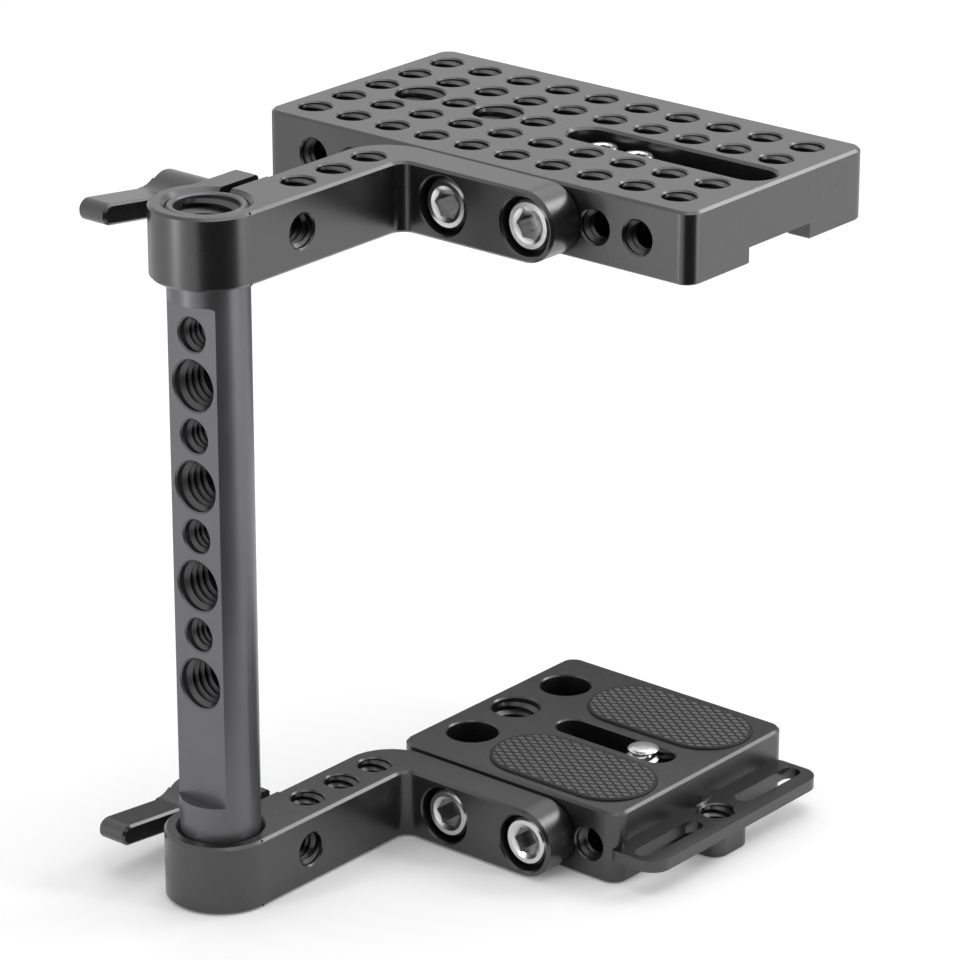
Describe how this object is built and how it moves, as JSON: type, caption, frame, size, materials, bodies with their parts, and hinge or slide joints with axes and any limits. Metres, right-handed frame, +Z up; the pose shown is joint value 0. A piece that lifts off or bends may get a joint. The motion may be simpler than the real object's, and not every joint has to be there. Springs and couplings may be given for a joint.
{
  "type": "camera cage",
  "caption": "Adjustable half cage for a camera: perforated top plate and slotted base plate on split clamp arms that slide and turn on one upright rod.",
  "frame": {"origin": "centre of the rod's lower end, on the plane that the base rests on", "axes": "+Z up the rod, +X along the plates' long sides, +Y from the rod towards the plates"},
  "size_m": [0.1, 0.1112, 0.1343],
  "materials": {
    "anodised_black": "fine bead-blasted black anodised",
    "anodised_rod": "black anodised, drawn and milled",
    "lever_black": "black anodised, tumbled",
    "stainless_steel": "turned stainless steel",
    "pad_rubber": "moulded with a fine diamond texture",
    "nylon_black": "matt",
    "block_aluminium": "black anodised"
  },
  "bodies": {
    "base": {"base_plate": "anodised_black", "grip_pad_front": "pad_rubber", "grip_pad_rear": "pad_rubber", "lower_arm": "anodised_black", "lower_arm_screw_inner": "stainless_steel", "lower_arm_screw_outer": "stainless_steel"},
    "rod": {"rod": "anodised_rod"},
    "upper_frame": {"upper_arm": "anodised_black", "upper_arm_screw_inner": "stainless_steel", "upper_arm_screw_outer": "stainless_steel", "top_plate": "anodised_black"},
    "shoe": {"shoe_block": "block_aluminium", "shoe_screw_left": "stainless_steel", "shoe_screw_right": "stainless_steel"},
    "camera_screw_carrier": {"camera_screw_washer": "nylon_black"},
    "camera_screw": {"camera_screw": "stainless_steel"},
    "lower_clamp": {"lower_clamp_lever": "lever_black", "lower_clamp_stud": "stainless_steel", "lower_clamp_washer": "stainless_steel"},
    "upper_clamp": {"upper_clamp_lever": "lever_black", "upper_clamp_stud": "stainless_steel", "upper_clamp_washer": "stainless_steel"}
  },
  "joints": [
    {"name": "rod_swivel", "type": "hinge", "parent": "base", "child": "rod", "pos_m": [0, 0, 0], "axis": [0, 0, 1], "continuous": true},
    {"name": "upper_slide", "type": "slide", "parent": "rod", "child": "upper_frame", "axis": [0, 0, 1], "range_m": [-0.075, 0]},
    {"name": "shoe_slide", "type": "slide", "parent": "upper_frame", "child": "shoe", "axis": [1, 0, 0], "range_m": [-0.003, 0.025]},
    {"name": "camera_screw_shift", "type": "slide", "parent": "base", "child": "camera_screw_carrier", "axis": [1, 0, 0], "range_m": [-0.0165, 0.0035]},
    {"name": "camera_screw_lift", "type": "slide", "parent": "camera_screw_carrier", "child": "camera_screw", "axis": [0, 0, 1], "range_m": [0, 0.0041]},
    {"name": "lower_clamp_turn", "type": "hinge", "parent": "base", "child": "lower_clamp", "pos_m": [-0.01, 0.01323, 0.00675], "axis": [1, 0, 0], "continuous": true},
    {"name": "upper_clamp_turn", "type": "hinge", "parent": "upper_frame", "child": "upper_clamp", "pos_m": [-0.01, 0.01323, 0.12755], "axis": [1, 0, 0], "continuous": true}
  ]
}
